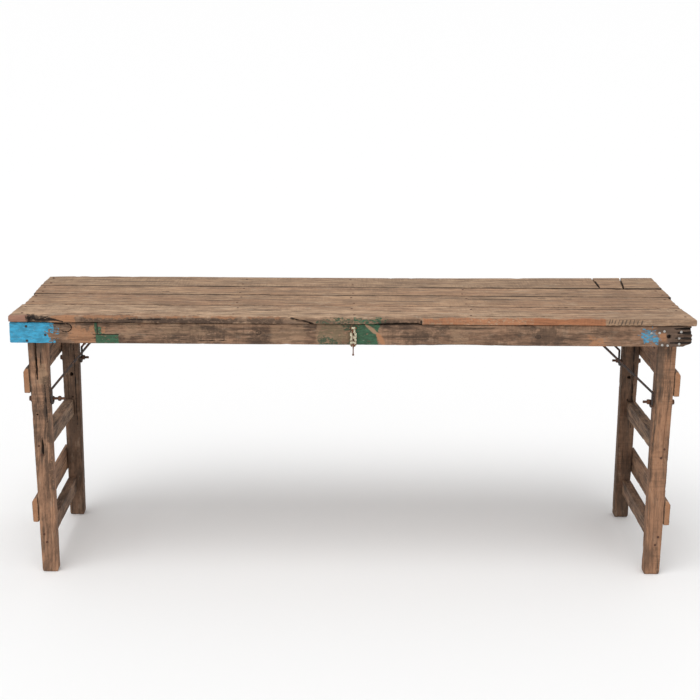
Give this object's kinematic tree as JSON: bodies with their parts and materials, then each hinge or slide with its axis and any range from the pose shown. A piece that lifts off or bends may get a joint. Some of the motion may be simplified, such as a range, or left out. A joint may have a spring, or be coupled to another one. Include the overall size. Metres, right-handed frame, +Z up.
{
  "type": "folding table",
  "caption": "Long plank-topped folding table on two hinged leg frames, held open by iron brace rods that hook under bolts in the legs.",
  "frame": {"origin": "on the floor under the middle of the top", "axes": "+X along the table, +Y from its front edge to its back edge, +Z up"},
  "size_m": [1.9, 0.589, 0.765],
  "materials": {
    "top_wood": "weathered, greyed planks",
    "apron_wood": "weathered, with patches of old blue and green paint",
    "leg_wood": "weathered and cracked",
    "frame_wood": "rough sawn, weathered",
    "dark_iron": "dark forged iron with rust",
    "rusty_steel": "rusted nails and wire",
    "cream_iron": "old cream paint over rust"
  },
  "bodies": {
    "top": {"apron_nails": "rusty_steel", "batten_left": "apron_wood", "batten_middle": "apron_wood", "batten_right": "apron_wood", "brace_screws": "dark_iron", "end_rail_left": "apron_wood", "end_rail_right": "apron_wood", "hasp_staple": "rusty_steel", "pivot_rod_left": "dark_iron", "pivot_rod_right": "dark_iron", "plank_back": "top_wood", "plank_back_end": "top_wood", "plank_back_patch": "top_wood", "plank_front": "top_wood", "plank_mid_back": "top_wood", "plank_mid_front": "top_wood", "rail_back": "apron_wood", "rail_front": "apron_wood", "rail_inlay": "apron_wood", "top_nails": "rusty_steel"},
    "left_frame": {"leg_front_left": "leg_wood", "leg_back_left": "leg_wood", "outer_rail_upper_left": "frame_wood", "outer_rail_lower_left": "frame_wood", "mid_rail_left": "frame_wood", "low_rail_left": "frame_wood", "frame_nails_left": "rusty_steel", "leg_bolt_front_left": "dark_iron", "leg_bolt_back_left": "dark_iron"},
    "brace_front_left": {"brace_front_left": "dark_iron"},
    "nut_front_left": {"nut_front_left": "dark_iron"},
    "brace_back_left": {"brace_back_left": "dark_iron"},
    "nut_back_left": {"nut_back_left": "dark_iron"},
    "right_frame": {"leg_front_right": "leg_wood", "leg_back_right": "leg_wood", "outer_rail_upper_right": "frame_wood", "outer_rail_lower_right": "frame_wood", "mid_rail_right": "frame_wood", "low_rail_right": "frame_wood", "frame_nails_right": "rusty_steel", "leg_bolt_front_right": "dark_iron", "leg_bolt_back_right": "dark_iron"},
    "brace_front_right": {"brace_front_right": "dark_iron"},
    "nut_front_right": {"nut_front_right": "dark_iron"},
    "brace_back_right": {"brace_back_right": "dark_iron"},
    "nut_back_right": {"nut_back_right": "dark_iron"},
    "hasp_strap": {"hasp_strap": "cream_iron"},
    "hasp_wire": {"hasp_wire": "rusty_steel"}
  },
  "joints": [
    {"name": "left_frame_fold", "type": "hinge", "parent": "top", "child": "left_frame", "pos_m": [-0.875, 0, 0.715], "axis": [0, -1, 0], "range_deg": [0, 78]},
    {"name": "brace_front_left_swing", "type": "hinge", "parent": "top", "child": "brace_front_left", "pos_m": [-0.69, -0.2525, 0.732], "axis": [0, -1, 0], "range_deg": [0, 126]},
    {"name": "nut_front_left_backs_off", "type": "slide", "parent": "left_frame", "child": "nut_front_left", "axis": [1, 0, 0], "range_m": [0, 0.01]},
    {"name": "brace_back_left_swing", "type": "hinge", "parent": "top", "child": "brace_back_left", "pos_m": [-0.69, 0.2525, 0.732], "axis": [0, -1, 0], "range_deg": [0, 126]},
    {"name": "nut_back_left_backs_off", "type": "slide", "parent": "left_frame", "child": "nut_back_left", "axis": [1, 0, 0], "range_m": [0, 0.01]},
    {"name": "right_frame_fold", "type": "hinge", "parent": "top", "child": "right_frame", "pos_m": [0.875, 0, 0.715], "axis": [0, 1, 0], "range_deg": [0, 78]},
    {"name": "brace_front_right_swing", "type": "hinge", "parent": "top", "child": "brace_front_right", "pos_m": [0.645, -0.2525, 0.732], "axis": [0, 1, 0], "range_deg": [0, 126]},
    {"name": "nut_front_right_backs_off", "type": "slide", "parent": "right_frame", "child": "nut_front_right", "axis": [-1, 0, 0], "range_m": [0, 0.01]},
    {"name": "brace_back_right_swing", "type": "hinge", "parent": "top", "child": "brace_back_right", "pos_m": [0.645, 0.2525, 0.732], "axis": [0, 1, 0], "range_deg": [0, 126]},
    {"name": "nut_back_right_backs_off", "type": "slide", "parent": "right_frame", "child": "nut_back_right", "axis": [-1, 0, 0], "range_m": [0, 0.01]},
    {"name": "hasp_swing", "type": "hinge", "parent": "top", "child": "hasp_strap", "pos_m": [0, -0.292, 0.735], "axis": [-1, 0, 0], "range_deg": [0, 150]},
    {"name": "wire_swing", "type": "hinge", "parent": "hasp_strap", "child": "hasp_wire", "pos_m": [0, -0.292, 0.6845], "axis": [1, 0, 0], "range_deg": [-60, 60]}
  ],
  "couplings": [
    {"joint": "brace_front_left_swing", "follows": "left_frame_fold", "ratio": 1.5},
    {"joint": "brace_back_left_swing", "follows": "left_frame_fold", "ratio": 1.5},
    {"joint": "brace_front_right_swing", "follows": "right_frame_fold", "ratio": 1.6},
    {"joint": "brace_back_right_swing", "follows": "right_frame_fold", "ratio": 1.6}
  ]
}
